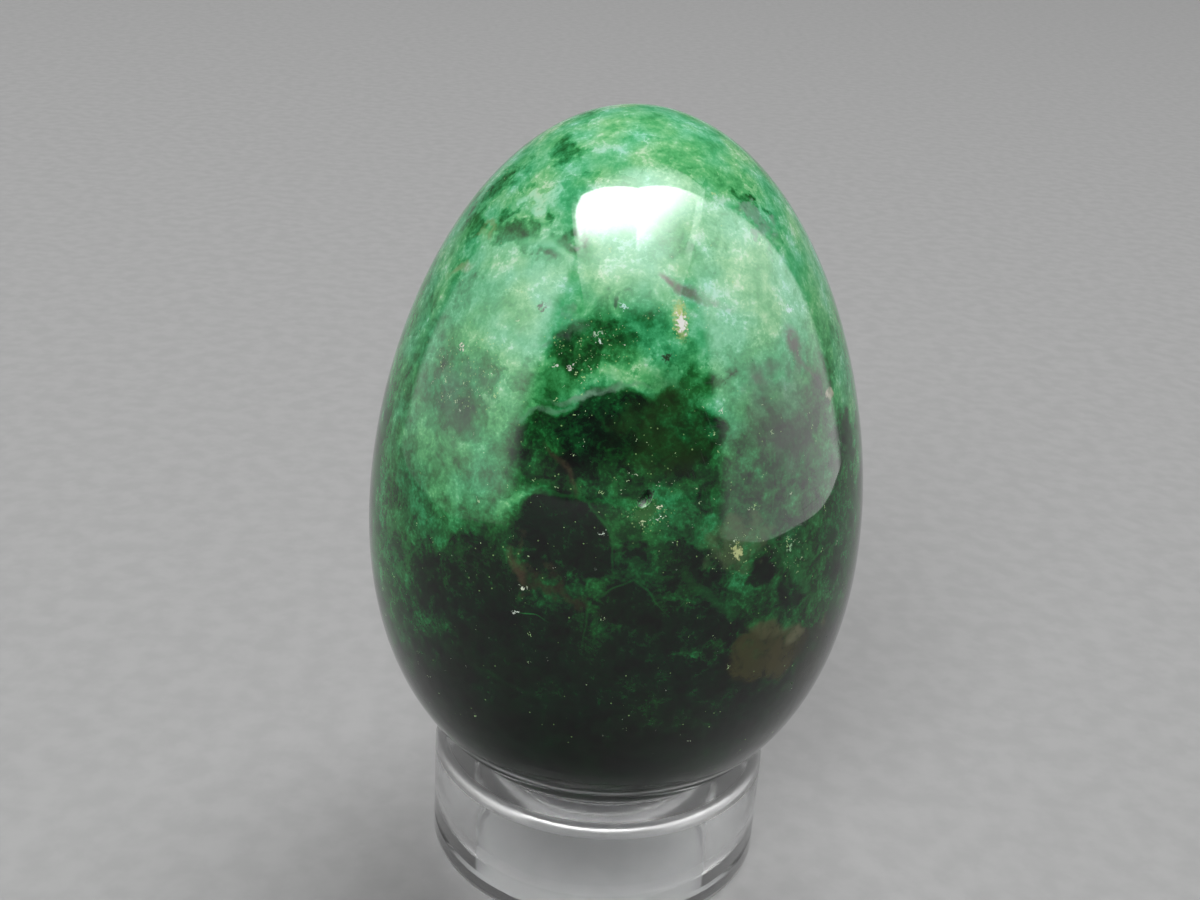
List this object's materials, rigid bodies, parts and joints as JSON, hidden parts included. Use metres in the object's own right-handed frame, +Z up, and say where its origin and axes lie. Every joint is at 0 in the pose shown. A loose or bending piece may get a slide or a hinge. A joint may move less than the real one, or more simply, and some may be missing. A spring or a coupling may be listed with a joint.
{
  "type": "stone egg on ring stand",
  "caption": "Polished stone egg standing blunt end down in a low clear ring with a conical seat.",
  "frame": {"origin": "centre of the ring's foot, on the surface that the ring stands on", "axes": "+Z up along the common axis of the ring and the egg; the object is round, so X and Y are free"},
  "size_m": [0.0356, 0.0356, 0.0573],
  "materials": {
    "clear_acrylic": "polished",
    "polished_stone": "polished"
  },
  "bodies": {
    "stand": {"ring_stand": "clear_acrylic"},
    "egg": {"stone_egg": "polished_stone"}
  },
  "joints": [
    {"name": "egg_lift", "type": "slide", "parent": "stand", "child": "egg", "axis": [0, 0, 1], "range_m": [0, 0.03]}
  ]
}
